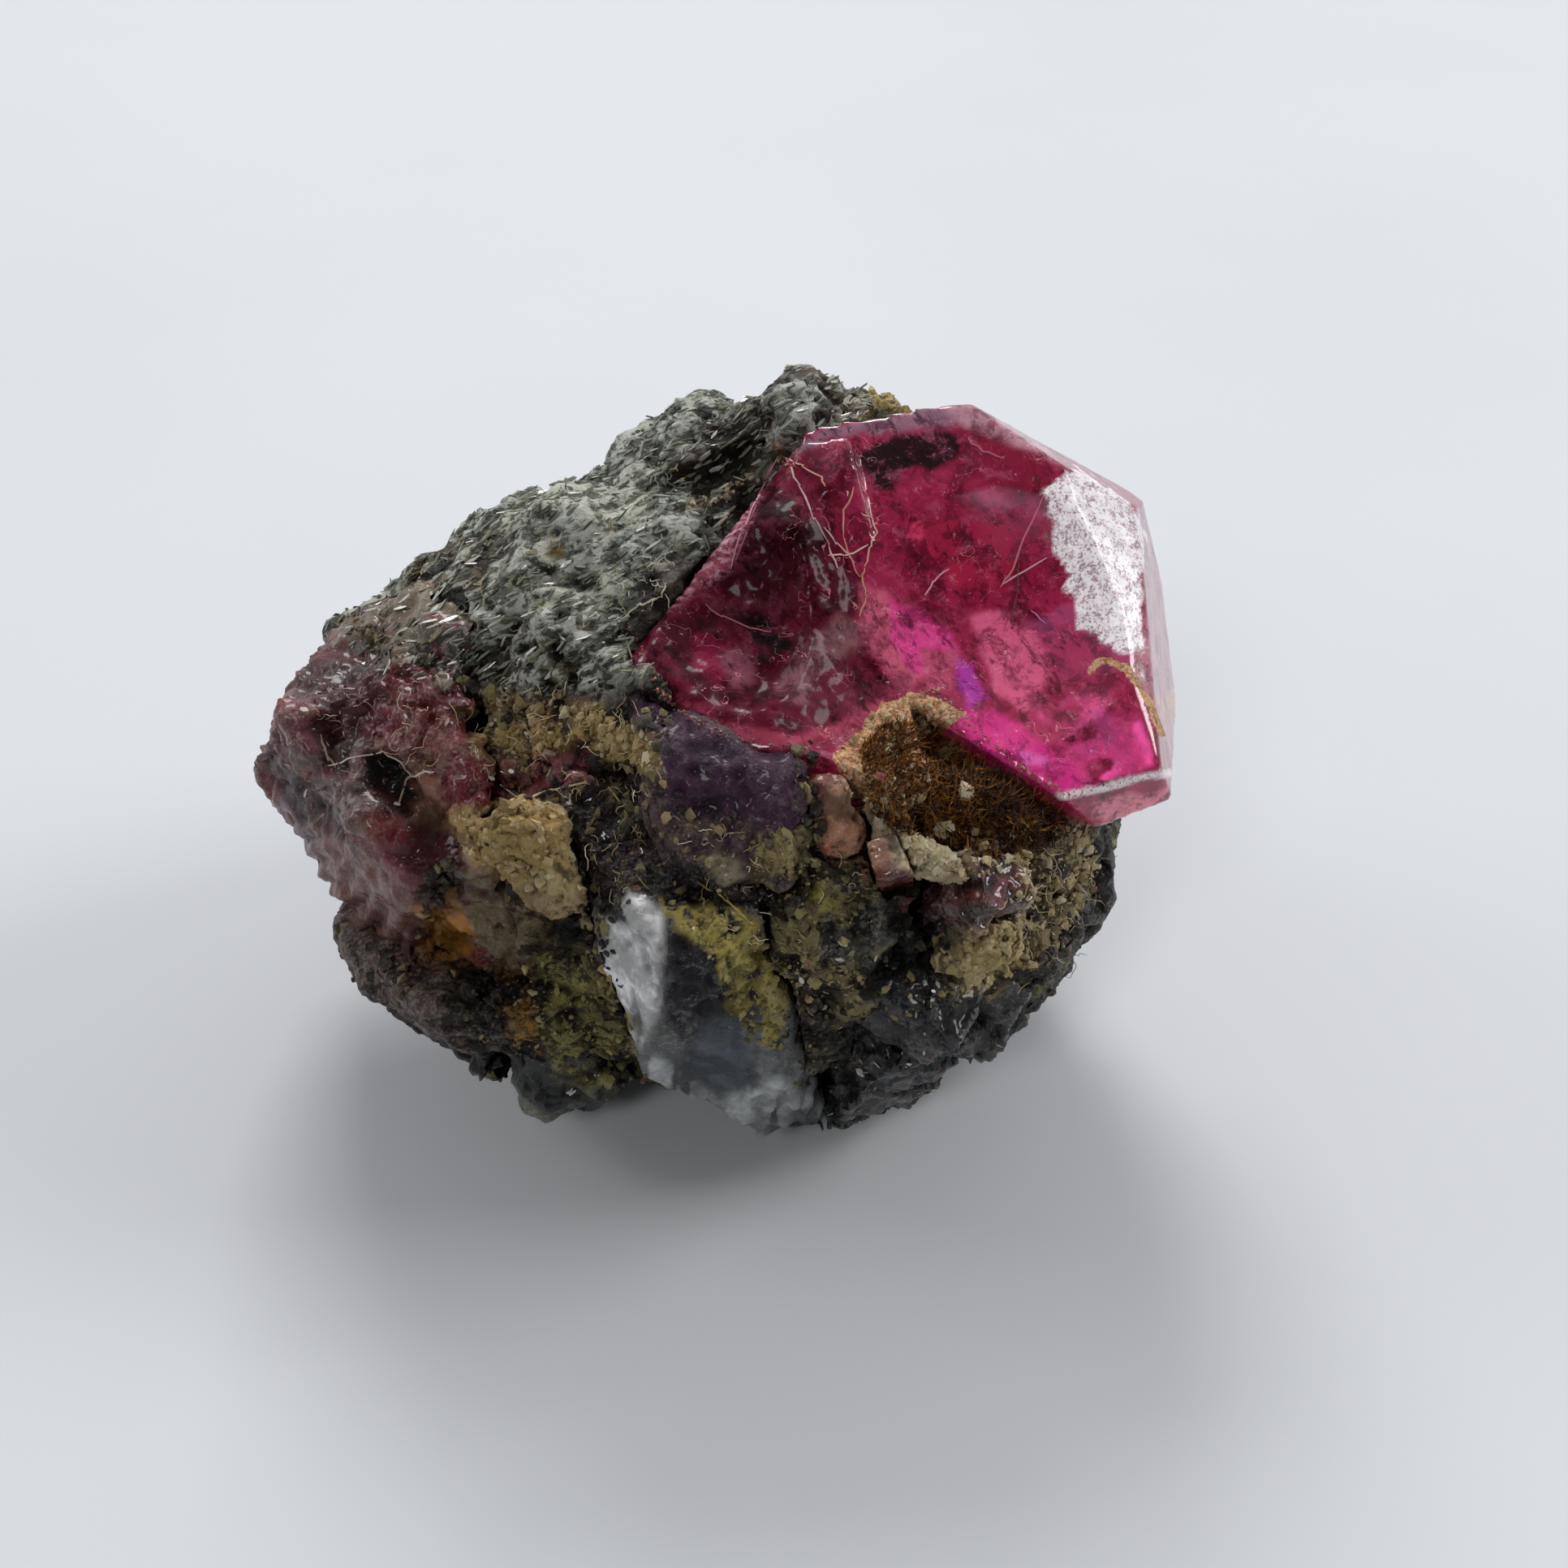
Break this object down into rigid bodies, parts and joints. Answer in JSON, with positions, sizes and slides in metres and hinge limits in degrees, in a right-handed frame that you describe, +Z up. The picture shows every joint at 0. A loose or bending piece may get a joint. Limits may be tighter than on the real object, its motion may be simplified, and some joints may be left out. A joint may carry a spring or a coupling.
{
  "type": "sapphire crystal specimen",
  "caption": "Rough pink-red sapphire crystal on a dark micaceous rock matrix with wine-red, violet, clear and black crystals, cream clay and an ochre-lined pocket.",
  "frame": {"origin": "on the surface the specimen rests on, under the middle of its bounding box", "axes": "+X to the right along the specimen's length, +Y to the back, +Z up, as the specimen is looked at with the pink crystal at the upper right"},
  "size_m": [0.0136, 0.0094, 0.0092],
  "materials": {
    "pink_sapphire": "glassy, etched on one face",
    "wine_ruby": "dusty, half translucent",
    "violet_corundum": "glassy",
    "clear_quartz": "glassy",
    "black_hornblende": "glossy cleavage",
    "red_garnet": "glassy",
    "flesh_pink": "waxy",
    "cream_clay": "powdery",
    "grey_quartz": "glassy",
    "iron_ochre": "fibrous, dull",
    "dark_rock": "rough with mica glints"
  },
  "bodies": {
    "root": {"matrix": "dark_rock", "sapphire_crystal": "pink_sapphire", "left_crystal": "wine_ruby", "violet_crystal": "violet_corundum", "clear_crystal": "clear_quartz", "black_crystal": "black_hornblende", "red_sliver": "red_garnet", "red_grain": "red_garnet", "flesh_feldspar": "flesh_pink", "cream_rim": "cream_clay", "cream_left": "cream_clay", "cream_knob": "cream_clay", "grey_bulge": "grey_quartz", "pocket_crust": "iron_ochre"}
  },
  "joints": []
}
